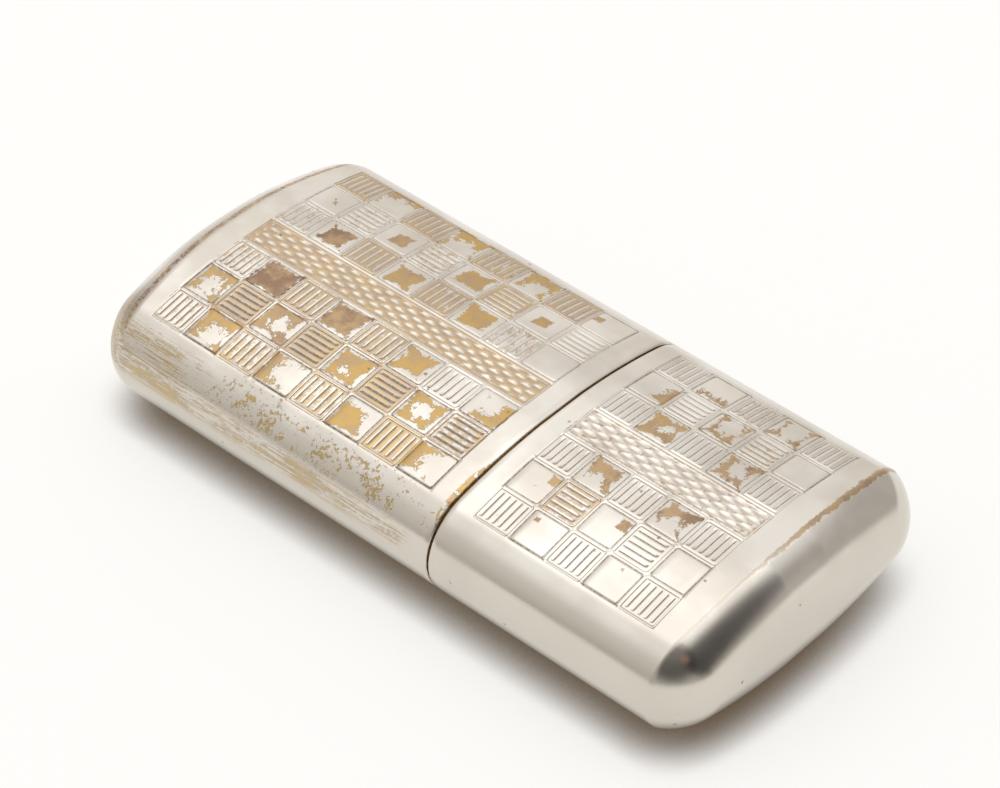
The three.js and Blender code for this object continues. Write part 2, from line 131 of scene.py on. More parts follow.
def section(y):
    """Height above mid-thickness and outward normal (y, z) of the upper outline, for arrays."""
    y = np.asarray(y, float)
    size = np.abs(y)
    crown = np.sqrt(CROWN_RADIUS**2 - y * y)
    across = np.clip((size - side_y) / SIDE_RADIUS, 0, 1)
    up = np.sqrt(1 - across**2)
    on_side = size > CROWN_Y
    height = np.where(on_side, up * SIDE_RADIUS, crown - crown_drop)
    normal_y = np.where(on_side, np.copysign(across, y), y / CROWN_RADIUS)
    normal_z = np.where(on_side, up, crown / CROWN_RADIUS)
    return np.where(size <= REST_HALF, HALF_THICK, height), normal_y, normal_z


def rounded(places):
    return {round(float(v), 4) for v in places}


def both_ends(offsets, size):
    """The offsets from each end of a length, as sorted places."""
    return sorted(rounded(offsets) | rounded(size - v for v in offsets))


# Places of the mesh lines, from the edge of a cell
BORDER_STEPS = [0, 0.075, 0.15, 0.225, 0.29]
OPEN_STEPS = [0.8]
RIM_STEPS = [0.36, 0.42, 0.5, 0.58]
STRIPE_END_STEPS = [0.35, 0.42, 0.52, 0.9]
GROOVE_SHARES = (-1, -0.4, 0.4, 1)


def groove_places(size):
    return np.linspace(GROOVE_FIRST, size - GROOVE_FIRST, GROOVES)


def plain_steps(size):
    return both_ends(BORDER_STEPS + OPEN_STEPS + [size / 2], size)


def end_steps(size):
    return both_ends(BORDER_STEPS + STRIPE_END_STEPS + [size / 2], size)


def groove_steps(size):
    centres = groove_places(size)
    steps = set(both_ends(BORDER_STEPS, size))
    for centre in centres:
        steps |= rounded(centre + share * GROOVE_HALF for share in GROOVE_SHARES)
    return sorted(steps | rounded((centres[1:] + centres[:-1]) / 2))


def is_striped(row, column):
    """Rows 1, 3, 4 and 6 are striped in even columns, rows 2 and 5 in odd ones."""
    return (column % 2 == 0) != (row in STRIPES_ALONG_X)


def pattern_rows():
    """Rows from +Y to -Y: row number, high y, low y."""
    half = BAND_WIDTH / 2
    rows = []
    for first, top in ((ROWS, PATTERN_HALF), (ROWS // 2, -half)):
        rows += [(first - i, top - i * ROW_PITCH, top - (i + 1) * ROW_PITCH) for i in range(ROWS // 2)]
    rows.insert(ROWS // 2, (BAND, half, -half))
    return rows


def row_steps(row, size):
    """Places across one row."""
    if row == BAND:
        lens = np.linspace(BAND_RIM, size - BAND_RIM, LENS_ROWS * LENS_STEPS + 1)
        return sorted(rounded(lens) | set(both_ends(BORDER_STEPS + RIM_STEPS, size)))
    return groove_steps(size) if row in STRIPES_ALONG_X else end_steps(size)


class Shell:
    """One half of the case. Places along its length are measured as w, from the mouth."""

    def __init__(self, low, high, end, side, edges):
        self.side = side
        self.mouth = high.x if side < 0 else low.x
        self.end_x = low.x if side < 0 else high.x
        self.length = abs(self.end_x - self.mouth)
        self.end = end
        self.edges = np.array(edges)
        self.edge_w = sorted(abs(x - self.mouth) for x in edges)
        slope = math.radians(end["slope"])
        most_drop = SIDE_ROUNDING_SHARE * SIDE_RADIUS
        self.radius = min(end["reach"] / (1 - math.sin(slope)), most_drop / math.cos(slope))
        self.drop = self.radius * math.cos(slope)
        self.crease_back = self.radius * (1 - math.sin(slope))

    def crease_w(self, y):
        return self.length - self.crease_back - self.end["crease_bow"] * (y / HALF_WIDTH) ** 2

    def end_ring(self, share, wall):
        """Inset of one ring of the rounded end, and its place along the length for each y."""
        start = math.acos((self.drop - wall) / (self.radius - wall))
        angle = start + (math.pi / 2 - start) * share
        inset = self.drop - (self.radius - wall) * math.cos(angle)
        back = self.radius - (self.radius - wall) * math.sin(angle)
        bow = self.end["crease_bow"] + (self.end["face_bow"] - self.end["crease_bow"]) * share
        return inset, lambda y: self.length - back - bow * (y / HALF_WIDTH) ** 2

    def column_steps(self, row):
        """Places along the length for one row."""
        edges = self.edge_w
        if row == BAND:
            step = LENS_PITCH / (2 * LENS_STEPS)
            places = rounded(np.arange(edges[0] + BAND_RIM, edges[-1] - 0.2, step))
            places |= rounded(edges[0] + v for v in BORDER_STEPS)
            return sorted(places | rounded(edges[-1] - v for v in BORDER_STEPS))
        places = set()
        count = len(edges) - 1
        for i in range(count):
            column = i if self.side > 0 else count - 1 - i
            size = edges[i + 1] - edges[i]
            steps = plain_steps
            if is_striped(row, column):
                steps = end_steps if row in STRIPES_ALONG_X else groove_steps
            places |= rounded(edges[i] + v for v in steps(size))
        return sorted(places)


# Mesh lines round the section and along the plain parts of a shell
SIDE_LINES = 14
COARSE_STEPS = 12
MARGIN_STEPS = 5
BESIDE_PATTERN = (0.06, 0.15)
FAR_MARGIN = (0.35, 0.7, 0.9)
# Lines past the pattern are told by a key above every place along the shell
BEYOND = 1000
END_RINGS = 16
INNER_RINGS = 6
MOUTH_EDGE = 0.1
# Rings from the mouth's outer edge to its inner one: place along the shell and inset
LIP_RINGS = ((0.03, 0.03), (0.0, 0.1), (0.0, WALL - 0.06), (0.06, WALL))


def around_lines(shell):
    """Lines along the shell, in order round its section: place, normal, and the steps along
    the length of the gap that follows. Fine steps stay on the engine turning."""
    first, last = shell.edge_w[0], shell.edge_w[-1]
    coarse = sorted(rounded(np.linspace(first, last, COARSE_STEPS)))
    edge_angle = math.acos((PATTERN_HALF - side_y) / SIDE_RADIUS)
    side = [side_y + SIDE_RADIUS * math.cos(edge_angle * i / SIDE_LINES) for i in range(SIDE_LINES)]
    rows = pattern_rows()
    first_steps = shell.column_steps(rows[0][0])
    upper = [(y, coarse) for y in side[:-1]] + [(side[-1], first_steps)]
    upper += [(PATTERN_HALF + v, first_steps) for v in BESIDE_PATTERN[::-1]]
    for row, high, low in rows:
        steps = shell.column_steps(row)
        upper += [(high - v, steps) for v in row_steps(row, high - low)[:-1]]
    upper += [(-PATTERN_HALF - v, steps) for v in (0, *BESIDE_PATTERN)]
    upper += [(-y, coarse) for y in side[:0:-1]]
    lines = [(y, *map(float, section(y)), steps) for y, steps in upper + [(-HALF_WIDTH, coarse)]]
    for i in range(len(upper) - 1, 0, -1):
        y, height, normal_y, normal_z, _ = lines[i]
        lines.append((y, -height, normal_y, -normal_z, lines[i - 1][4]))
    return lines


def shell_mesh(shell):
    """Points and faces of the closed shell, still without its engine turning."""
    lines = around_lines(shell)
    count = len(lines)
    points, faces = [], []

    def place(w, line, inset):
        y, height, normal_y, normal_z, _ = line
        x = shell.mouth + shell.side * w
        points.append((x, y - inset * normal_y, HALF_THICK + height - inset * normal_z))
        return len(points) - 1

    near, far = round(shell.edge_w[0], 4), round(shell.edge_w[-1], 4)
    margin = [round(v, 4) for v in np.linspace(MOUTH_EDGE, near, MARGIN_STEPS)[:-1]]
    margin += [round(near - v, 4) for v in BESIDE_PATTERN]
    outer = []
    for j, line in enumerate(lines):
        keys = {w: place(w, line, 0.0) for w in margin + sorted(set(line[4]) | set(lines[j - 1][4]))}
        crease = shell.crease_w(line[0])
        for past in BESIDE_PATTERN:
            keys[BEYOND + past / 10] = place(far + past, line, 0.0)
        for share in FAR_MARGIN:
            keys[BEYOND + share] = place(far + (crease - far) * share, line, 0.0)
        outer.append(keys)
    for j in range(count):
        here, there = outer[j], outer[(j + 1) % count]
        shared = sorted(set(lines[j][4]) | set(margin) | {k for k in here if k > BEYOND})
        here_keys, there_keys = sorted(here), sorted(there)
        for k0, k1 in zip(shared, shared[1:]):
            a = [here[k] for k in here_keys if k0 <= k <= k1]
            b = [there[k] for k in there_keys if k0 <= k <= k1]
            faces.append(a + b[::-1])

    def ring_after(ring, inset, w_of):
        """The next ring of points, joined to the one before it."""
        following = [place(w_of(line[0]), line, inset) for line in lines]
        for j in range(count):
            k = (j + 1) % count
            faces.append([ring[j], ring[k], following[k], following[j]])
        return following

    def end_from(ring, rings, wall):
        """Rounded end, closed by strips from each upper line to the lower one below it."""
        for i in range(rings + 1):
            ring = ring_after(ring, *shell.end_ring(i / rings, wall))
        for j in range(count // 2):
            corners = [ring[j], ring[j + 1], ring[count - j - 1], ring[(count - j) % count]]
            faces.append(list(dict.fromkeys(corners)))

    end_start = len(faces)
    end_from([keys[max(keys)] for keys in outer], END_RINGS, 0.0)
    # The far end is met from the other side of its faces than the rings into the mouth
    faces[end_start:] = [face[::-1] for face in faces[end_start:]]
    ring = [keys[min(keys)] for keys in outer]
    for w, inset in (*LIP_RINGS, (far, WALL)):
        ring = ring_after(ring, inset, lambda _, w=w: w)
    end_from(ring, INNER_RINGS, WALL)
    return points, faces


def bump(value):
    """1 at zero, falling smoothly to 0 at 1 and beyond."""
    return 0.5 * (1 + np.cos(np.pi * np.clip(np.abs(value), 0, 1)))


def border_relief(u, v, size_x, size_y):
    """A fine line inside each cell's edge. Between two cells it leaves a low ridge, which widens
    to a raised spot where four cells meet."""
    qx = np.abs(u) - (size_x / 2 - CORNER_RADIUS)
    qy = np.abs(v) - (size_y / 2 - CORNER_RADIUS)
    outside = np.hypot(np.maximum(qx, 0), np.maximum(qy, 0))
    inward = CORNER_RADIUS - outside - np.minimum(np.maximum(qx, qy), 0)
    line = -BORDER_DEPTH * bump((inward - BORDER_PLACE) / BORDER_HALF)
    ridge = -RIDGE_DROP * np.clip(inward / BORDER_PLACE, 0, 1) ** 2 * (inward < BORDER_PLACE + BORDER_HALF)
    return np.minimum(line, ridge)


def outline_relief(shell, x, y):
    """The line round the whole pattern is cut deeper than those between its cells."""
    inward = np.minimum(np.minimum(x - shell.edges[0], shell.edges[-1] - x), PATTERN_HALF - np.abs(y))
    return -OUTLINE_DEPTH * bump((inward - BORDER_PLACE) / BORDER_HALF)


def stripe_relief(across, along, width, length):
    """Round-ended grooves, with a bead between each two."""
    reach = np.maximum(np.abs(along) - (length / 2 - GROOVE_END - GROOVE_HALF), 0)
    depth = np.zeros_like(across)
    for place in groove_places(width) - width / 2:
        distance = np.hypot(across - place, reach) / GROOVE_HALF
        depth = np.minimum(depth, -GROOVE_DEPTH * bump(distance))
    return depth


def band_relief(shell, x, y):
    """Barleycorn: staggered lens-shaped hollows inside a plain rim."""
    in_x = np.minimum(x - shell.edges[0], shell.edges[-1] - x)
    inward = np.minimum(in_x, BAND_WIDTH / 2 - np.abs(y))
    edge = -BORDER_DEPTH * bump((inward - BORDER_PLACE) / BORDER_HALF)
    line = -BORDER_DEPTH * bump((inward - LENS_EDGE) / LENS_EDGE_HALF)
    along = (np.abs(x - shell.mouth) - shell.edge_w[0] - BAND_RIM) / LENS_PITCH
    across = (y + BAND_WIDTH / 2 - BAND_RIM) * LENS_ROWS / (2 * (BAND_WIDTH - 2 * BAND_RIM))
    first, second = along + across, along - across
    first, second = (2 * np.abs(v - np.round(v)) for v in (first, second))
    lens = -LENS_DEPTH * ((1 - first**2) * (1 - second**2)) ** 1.5
    return np.where(inward > LENS_START, lens, np.minimum(edge, line))


EDGE_SLACK = 1e-3
ON_FACE = 0.004
NEAR_FACE = 0.2


def relief(shell, x, y):
    """Height of the engine turning at each point of a broad face, at or below zero."""
    height = np.zeros_like(x)
    edges = shell.edges
    inside = (x > edges[0] - EDGE_SLACK) & (x < edges[-1] + EDGE_SLACK)
    column = np.clip(np.searchsorted(edges, x, side="right") - 1, 0, len(edges) - 2)
    size_x = edges[column + 1] - edges[column]
    u = x - (edges[column + 1] + edges[column]) / 2
    for row, high, low in pattern_rows():
        here = inside & (y <= high + EDGE_SLACK) & (y >= low - EDGE_SLACK)
        if row == BAND:
            height[here] = np.minimum(height[here], band_relief(shell, x[here], y[here]))
            continue
        size_y = high - low
        v = y - (high + low) / 2
        stripes = np.zeros_like(x)
        if row in STRIPES_ALONG_X:
            stripes[here] = stripe_relief(v[here], u[here], size_y, size_x[here])
        else:
            for size in np.unique(size_x):
                same = here & (size_x == size)
                stripes[same] = stripe_relief(u[same], v[same], size, size_y)
        pillow = -PILLOW_DROP * (np.abs(2 * u / size_x) ** 3 + np.abs(2 * v / size_y) ** 3) / 2
        striped = np.array([is_striped(row, c) for c in range(len(edges) - 1)])[column]
        cell = np.where(striped, stripes, pillow) + border_relief(u, v, size_x, size_y)
        height[here] = np.minimum(height[here], cell[here])
    return height + np.where(inside & (np.abs(y) < PATTERN_HALF), outline_relief(shell, x, y), 0)


# Wear of the plain cells: extent, centre x, y and tone, then x, y and radius of a silver
# island where there is one. All in half cells; tone runs from gold 0 to dark brown 1.
BODY_STARS = {
    (6, 1): (0.95, 0.0, 0.3, 0.35, 0.1, -0.2, 0.85),
    (6, 3): (1.0, 0.0, 0.1, 0.15, 0.0, -0.45, 0.72),
    (6, 5): (0.95, 0.0, 0.1, 0.15, 0.15, -0.3, 0.55),
    (6, 7): (0.42, -0.68, 0.2, 0.45),
    (5, 0): (0.36, 0.2, -0.1, 0.5),
    (5, 2): (0.6, 0.05, -0.05, 0.5),
    (5, 4): (0.8, 0.05, 0.12, 0.2),
    (5, 6): (0.54, 0.0, 0.0, 0.35),
    (4, 1): (0.84, 0.05, 0.0, 0.85, -0.95, 0.0, 0.4),
    (4, 3): (0.8, 0.0, -0.1, 0.4),
    (4, 5): (0.84, -0.05, 0.0, 0.15),
    (4, 7): (0.2, -0.7, -0.7, 0.3),
    (3, 1): (1.05, 0.0, 0.0, 0.8),
    (3, 3): (0.97, -0.06, 0.0, 0.6),
    (3, 5): (0.85, -0.05, -0.05, 0.25),
    (3, 7): (0.85, 0.25, -0.15, 0.1, -0.1, 0.15, 0.62),
    (2, 0): (0.98, 0.0, 0.1, 0.3, 0.05, -0.1, 0.6),
    (2, 2): (0.98, -0.1, 0.1, 0.5, 0.15, -0.05, 0.5),
    (2, 4): (1.0, 0.0, 0.0, 0.25, -0.15, -0.3, 0.3),
    (2, 6): (0.95, 0.0, 0.0, 0.12, 0.0, 0.05, 0.5),
    (1, 1): (1.0, 0.0, 0.1, 0.2, 0.15, -0.2, 0.62),
    (1, 3): (0.95, -0.2, 0.0, 0.15, 0.25, 0.05, 0.8),
    (1, 5): (0.85, -0.15, -0.1, 0.1, 0.75, 0.5, 0.5),
    (1, 7): (0.9, -0.4, 0.1, 0.1, 0.3, 0.0, 0.75),
}
CAP_STARS = {
    (6, 1): (0.92, 0.0, -0.05, 0.6, 0.0, 0.35, 0.98),
    (6, 3): (0.9, 0.0, 0.0, 0.6, 0.05, 0.1, 0.72),
    (5, 0): (0.8, 0.35, -0.1, 0.4, -0.35, 0.1, 0.95),
    (5, 2): (0.9, 0.0, 0.0, 0.55, 0.0, 0.15, 0.62),
    (5, 4): (0.12, -0.2, 0.1, 0.6),
    (4, 1): (0.9, 0.0, 0.0, 0.45, 0.1, 0.05, 0.36),
    (4, 3): (0.9, 0.0, 0.0, 0.65, 0.05, 0.05, 0.5),
    (3, 1): (0.9, 0.0, 0.1, 0.6, -0.1, -0.4, 0.52),
    (3, 3): (0.88, 0.0, 0.05, 0.7, 0.05, -0.3, 0.55),
    (2, 0): (0.44, 0.68, 0.5, 0.45),
    (2, 2): (0.48, 0.62, 0.45, 0.6),
    (2, 4): (0.0, 0.0, 0.0, 0.4),
    (1, 1): (0.32, -0.55, 0.5, 0.7),
    (1, 3): (0.3, 0.0, 0.6, 0.6),
}
# Wear of the striped cells: share worn through and tone, from the left in each row
BODY_STRIPES = {
    6: ((0.72, 0.4), (0.8, 0.45), (0.6, 0.35), (0.68, 0.5)),
    5: ((0.4, 0.5), (0.45, 0.45), (0.62, 0.3), (0.15, 0.35)),
    4: ((0.42, 0.55), (0.66, 0.5), (0.66, 0.45), (0.45, 0.6)),
    3: ((0.45, 0.5), (0.62, 0.5), (0.6, 0.4), (0.3, 0.5)),
    2: ((0.85, 0.5), (0.92, 0.4), (0.92, 0.3), (0.5, 0.3)),
    1: ((0.4, 0.25), (0.52, 0.2), (0.55, 0.15), (0.62, 0.12)),
}
CAP_STRIPES = {
    6: ((0.35, 0.6), (0.4, 0.6), (0.3, 0.6)),
    5: ((0.25, 0.6), (0.42, 0.4)),
    4: ((0.32, 0.6), (0.12, 0.6), (0.22, 0.7)),
    3: ((0.12, 0.6), (0.12, 0.6), (0.15, 0.6)),
    2: ((0.55, 0.5), (0.2, 0.6)),
    1: ((0.28, 0.3), (0.06, 0.5), (0.12, 0.5)),
}
BAND_WEAR = {"body": (0.8, 0.45), "cap": (0.3, 0.7)}
NOTES = 8
OPEN_METAL, PLAIN_CELL, STRIPED_CELL, BAND_CELL = 0.0, 1.0, 2.0, 3.0


def cell_wear(row, column, name, upper):
    """Kind of cell, then its wear. The underside has the rows' wear the other way round."""
    if row == BAND:
        return (BAND_CELL, *BAND_WEAR[name])
    source = row if upper else ROWS + 1 - row
    if is_striped(row, column):
        table = BODY_STRIPES if name == "body" else CAP_STRIPES
        return (STRIPED_CELL, *table[source][column // 2])
    stars = BODY_STARS if name == "body" else CAP_STARS
    extent, x, y, tone, *island = stars[source, column]
    return (PLAIN_CELL, extent, tone, x, y, *island)


def apply_modifiers(piece):
    graph = bpy.context.evaluated_depsgraph_get()
    piece.data = bpy.data.meshes.new_from_object(piece.evaluated_get(graph))
    piece.modifiers.clear()


def cut_holes(piece, holes):
    """Round holes along X through the end: (y, radius, from x, to x)."""
    for y, radius, low, high in holes:
        bpy.ops.mesh.primitive_cylinder_add(
            vertices=HOLE_SIDES, radius=radius * MM, depth=(high - low) * MM,
            location=((low + high) / 2 * MM, y * MM, HALF_THICK * MM),
            rotation=(0, math.pi / 2, 0),
        )
        cutter = bpy.context.active_object
        cut = piece.modifiers.new("hole", "BOOLEAN")
        cut.object = cutter
        cut.operation = "DIFFERENCE"
        cut.solver = "MANIFOLD"
        apply_modifiers(piece)
        bpy.data.objects.remove(cutter)


def read(collection, name, width=1, kind=np.float32):
    values = np.empty(len(collection) * width, kind)
    collection.foreach_get(name, values)
    return values.reshape(-1, width) if width > 1 else values


def engrave(mesh, shell):
    """Cuts the engine turning into both broad faces. Returns the vertices' places in millimetres."""
    co = read(mesh.vertices, "co", 3).astype(float) / MM
    x, y, z = co.T
    height, normal_y, normal_z = section(y)
    on_face = np.abs(np.abs(z - HALF_THICK) - height) < ON_FACE
    on_face &= np.abs(y) < PATTERN_HALF + EDGE_SLACK
    depth = np.where(on_face, relief(shell, x, y), 0.0)
    upward = np.sign(z - HALF_THICK)
    co[:, 1] += depth * normal_y
    co[:, 2] += depth * normal_z * upward
    mesh.vertices.foreach_set("co", (co * MM).astype(np.float32).ravel())
    groove = mesh.attributes.new("groove", "FLOAT", "POINT")
    groove.data.foreach_set("value", (-depth / DEEPEST).astype(np.float32))
    return co


def note_cells(mesh, shell, name, co):
    """Notes on the mesh each face's kind and wear, and each corner's place in its cell, from -1 to 1."""
    total = read(mesh.polygons, "loop_total", kind=np.int32)
    start = read(mesh.polygons, "loop_start", kind=np.int32)
    corner = read(mesh.loops, "vertex_index", kind=np.int32)
    centre = np.add.reduceat(co[corner], start) / total[:, None]
    marked = np.zeros((len(total), NOTES))
    edges = shell.edges
    column = np.searchsorted(edges, centre[:, 0]) - 1
    face_depth = np.abs(np.abs(centre[:, 2] - HALF_THICK) - section(centre[:, 1])[0])
    on_pattern = (face_depth < NEAR_FACE) & (column >= 0) & (column < len(edges) - 1)
    origin = np.zeros((len(total), 4))
    origin[:, 2:] = 1
    for row, high, low in pattern_rows():
        in_row = on_pattern & (centre[:, 1] < high) & (centre[:, 1] > low)
        for c in range(len(edges) - 1):
            left, right = (edges[0], edges[-1]) if row == BAND else edges[c:c + 2]
            for upper in (True, False):
                here = in_row & (column == c) & ((centre[:, 2] > HALF_THICK) == upper)
                wear = cell_wear(row, c, name, upper)
                marked[here, :len(wear)] = wear
                origin[here] = ((left + right) / 2, (high + low) / 2, (right - left) / 2, (high - low) / 2)
    owner = np.repeat(np.arange(len(total)), total)
    own = origin[owner]
    cell = np.zeros((len(corner), 3), np.float32)
    cell[:, :2] = (co[corner][:, :2] - own[:, :2]) / own[:, 2:]
    cell[marked[owner, 0] == OPEN_METAL] = 0
    mesh.attributes.new("cell", "FLOAT_VECTOR", "CORNER").data.foreach_set("vector", cell.ravel())
    for label, part in (("wear", marked[:, :4]), ("island", marked[:, 4:])):
        layer = mesh.attributes.new(label, "FLOAT_COLOR", "FACE")
        layer.data.foreach_set("color", part.astype(np.float32).ravel())


def link(name, mesh):
    piece = bpy.data.objects.new(name, mesh)
    bpy.context.scene.collection.objects.link(piece)
    return piece


def build_shell(shell, name, holes=()):
    points, faces = shell_mesh(shell)
    mesh = bpy.data.meshes.new(name)
    if shell.side > 0:
        faces = [face[::-1] for face in faces]
    mesh.from_pydata((np.array(points) * MM).tolist(), [], faces)
    mesh.validate()
    piece = link(name + "_skin", mesh)
    cut_holes(piece, holes)
    mesh = piece.data
    co = engrave(mesh, shell)
    note_cells(mesh, shell, name, co)
    mesh.polygons.foreach_set("use_smooth", np.ones(len(mesh.polygons), bool))
    return piece


body_edges = [BODY_PATTERN_END - BODY_PITCH * i for i in range(BODY_COLUMNS, -1, -1)]
body_edges[0] += BODY_FIRST_SHORT
cap_edges = [CAP_PATTERN_START + CAP_PITCH * i for i in range(CAP_COLUMNS + 1)]
body_shape = Shell(BODY_LOW, BODY_HIGH, BODY_END, -1, body_edges)
cap_shape = Shell(CAP_LOW, CAP_HIGH, CAP_END, 1, cap_edges)

bush_holes = []
for node in BUSHES:
    low, high = box_mm(node)
    centre, radius = (low.y + high.y) / 2, (high.y - low.y) / 2 + BUSH_GAP
    bush_holes.append((centre, radius, BODY_LOW.x + HOLE_START, BODY_LOW.x + HOLE_STOP))
body_skin = build_shell(body_shape, "body", bush_holes)
cap_skin = build_shell(cap_shape, "cap")


class Nodes:
    """Short forms for building the nodes of one material or world."""

    def __init__(self, name, owner=None):
        self.owner = owner or bpy.data.materials.new(name)
        self.owner.use_nodes = True
        self.tree = self.owner.node_tree
        self.shader = self.tree.nodes["Background" if owner else "Principled BSDF"]

    def add(self, kind, **settings):
        node = self.tree.nodes.new(kind)
        for key, value in settings.items():
            setattr(node, key, value)
        return node

    def put(self, socket, value):
        if isinstance(value, bpy.types.NodeSocket):
            self.tree.links.new(value, socket)
        elif isinstance(value, tuple) and len(value) == 3 and socket.type == "RGBA":
            socket.default_value = (*value, 1)
        else:
            socket.default_value = value

    def math(self, operation, first, second=0.0, third=0.0, clamp=False):
        node = self.add("ShaderNodeMath", operation=operation, use_clamp=clamp)
        for socket, value in zip(node.inputs, (first, second, third)):
            self.put(socket, value)
        return node.outputs[0]

    def fold(self, operation, *values):
        """One operation over several values, from left to right."""
        total = values[0]
        for value in values[1:]:
            total = self.math(operation, total, value)
        return total

    def times(self, *values):
        return self.fold("MULTIPLY", *values)

    def plus(self, *values):
        return self.fold("ADD", *values)

    def most(self, *values):
        return self.fold("MAXIMUM", *values)

    def less(self, first, second):
        return self.math("SUBTRACT", first, second)

    def size(self, value):
        return self.math("ABSOLUTE", value)

    def distance(self, first, second):
        return self.math("SQRT", self.plus(self.times(first, first), self.times(second, second)))

    def range(self, value, low, high, out_low=0.0, out_high=1.0):
        """Smooth step from out_low, at low, to out_high, at high."""
        node = self.add("ShaderNodeMapRange", interpolation_type="SMOOTHSTEP")
        for key, part in zip(("Value", "From Min", "From Max", "To Min", "To Max"),
                             (value, low, high, out_low, out_high)):
            self.put(node.inputs[key], part)
        return node.outputs[0]

    def mix(self, factor, first, second):
        node = self.add("ShaderNodeMix", data_type="RGBA")
        self.put(node.inputs[0], factor)
        self.put(node.inputs[6], first)
        self.put(node.inputs[7], second)
        return node.outputs[2]

    def blend(self, factor, first, second):
        node = self.add("ShaderNodeMix", data_type="FLOAT")
        self.put(node.inputs[0], factor)
        self.put(node.inputs[2], first)
        self.put(node.inputs[3], second)
        return node.outputs[0]

    def sway(self, *parts):
        """Sum of noises, each centred on zero and scaled by its share."""
        total = 0.0
        for value, share in parts:
            total = self.math("MULTIPLY_ADD", self.less(value, 0.5), share, total)
        return total

    def attribute(self, name, output):
        return self.add("ShaderNodeAttribute", attribute_name=name).outputs[output]

    def colour_parts(self, name):
        source = self.add("ShaderNodeAttribute", attribute_name=name)
        parts = self.add("ShaderNodeSeparateColor")
        self.put(parts.inputs[0], source.outputs["Color"])
        return (*parts.outputs, source.outputs["Alpha"])

    def split(self, vector):
        node = self.add("ShaderNodeSeparateXYZ")
        self.put(node.inputs[0], vector)
        return node.outputs

    def toward(self, vector, axis):
        """Cosine of the angle between a direction and an axis."""
        node = self.add("ShaderNodeVectorMath", operation="DOT_PRODUCT")
        self.put(node.inputs[0], vector)
        node.inputs[1].default_value = Vector(axis).normalized()
        return node.outputs["Value"]

    def place(self, stretch=(1, 1, 1), shift=(0, 0, 0)):
        """Object coordinates in millimetres."""
        node = self.add("ShaderNodeMapping")
        self.put(node.inputs["Vector"], self.add("ShaderNodeTexCoord").outputs["Object"])
        node.inputs["Scale"].default_value = [v / MM for v in stretch]
        node.inputs["Location"].default_value = shift
        return node.outputs[0]

    def noise(self, scale, detail=4.0, roughness=0.6, stretch=(1, 1, 1), shift=(0, 0, 0), distortion=0.0):
        """Noise from about 0 to 1, with features about 1 / scale millimetres across."""
        node = self.add("ShaderNodeTexNoise")
        self.put(node.inputs["Vector"], self.place(stretch, shift))
        for key, value in (("Scale", scale), ("Detail", detail), ("Roughness", roughness),
                           ("Distortion", distortion)):
            node.inputs[key].default_value = value
        return node.outputs["Fac"]

    def bump(self, height, strength, distance, normal=None):
        node = self.add("ShaderNodeBump")
        node.inputs["Strength"].default_value = strength
        node.inputs["Distance"].default_value = distance * MM
        self.put(node.inputs["Height"], height)
        if normal is not None:
            self.put(node.inputs["Normal"], normal)
        return node.outputs[0]

    def finish(self, **sockets):
        for key, value in sockets.items():
            self.put(self.shader.inputs[key.replace("_", " ")], value)
        return self.owner


NICKEL_LIGHT = (0.80, 0.755, 0.69)
NICKEL_DULL = (0.66, 0.61, 0.545)
# Darker nickel for the sides
NICKEL_SIDES = (0.645, 0.60, 0.53)
GOLD = (0.58, 0.385, 0.145)
TAN = (0.49, 0.345, 0.20)
OLIVE = (0.50, 0.375, 0.165)
BROWN = (0.31, 0.20, 0.135)
# Dark colour of the dirt in cut lines and pits, and of the painted shade in the grooves
GRIME_AND_SHADE = (0.215, 0.14, 0.08)
STAR_PINCH = 0.2
LEAST_STAR = 0.05
LEAST_ISLAND = 0.01
PITS_PER_MM = 0.42
# The tank's worn line lies just past its crease
BODY_LINE_PAST = 0.5
BODY_LINE_HALF = 0.22


def plate_fields(n):
    """What the plate's nodes work from: places in millimetres, the mesh's notes, and noises."""
    at = SimpleNamespace()
    at.x, at.y, at.z = n.split(n.place())
    at.u, at.v, _ = n.split(n.attribute("cell", "Vector"))
    kind, at.extent, at.tone, at.centre_x = n.colour_parts("wear")
    at.centre_y, at.island_x, at.island_y, at.island_radius = n.colour_parts("island")
    at.groove = n.attribute("groove", "Fac")
    at.facing_x, at.facing_y, _ = n.split(n.add("ShaderNodeTexCoord").outputs["Normal"])
    at.is_plain, at.is_striped, at.is_band, at.is_open = (
        n.math("COMPARE", kind, code, 0.25) for code in (PLAIN_CELL, STRIPED_CELL, BAND_CELL, OPEN_METAL)
    )
    at.on_tank = n.math("LESS_THAN", at.x, SEAM_X)
    at.near_side = n.range(at.y, -10.5, -13.2)
    at.from_middle = n.size(n.less(at.z, HALF_THICK))

    at.jagged = n.noise(1.5, 6, 0.72, distortion=0.3)
    at.ragged = n.noise(3.4, 5, 0.7, shift=(7, 3, 1))
    at.lumpy = n.noise(0.6, 3, 0.6, shift=(4, 8, 2))
    at.broad = n.noise(0.16, 3, 0.5, shift=(2, 9, 4))
    at.fine = n.noise(14, 3, 0.7)
    at.brushed = n.noise(1.0, 5, 0.75, stretch=(0.22, 5.5, 5.5))
    at.hairlines = n.noise(1.0, 3, 0.7, stretch=(0.4, 10, 10), shift=(3, 5, 8))
    at.speck = n.plus(n.times(at.ragged, 0.6), n.times(at.jagged, 0.4))
    return at


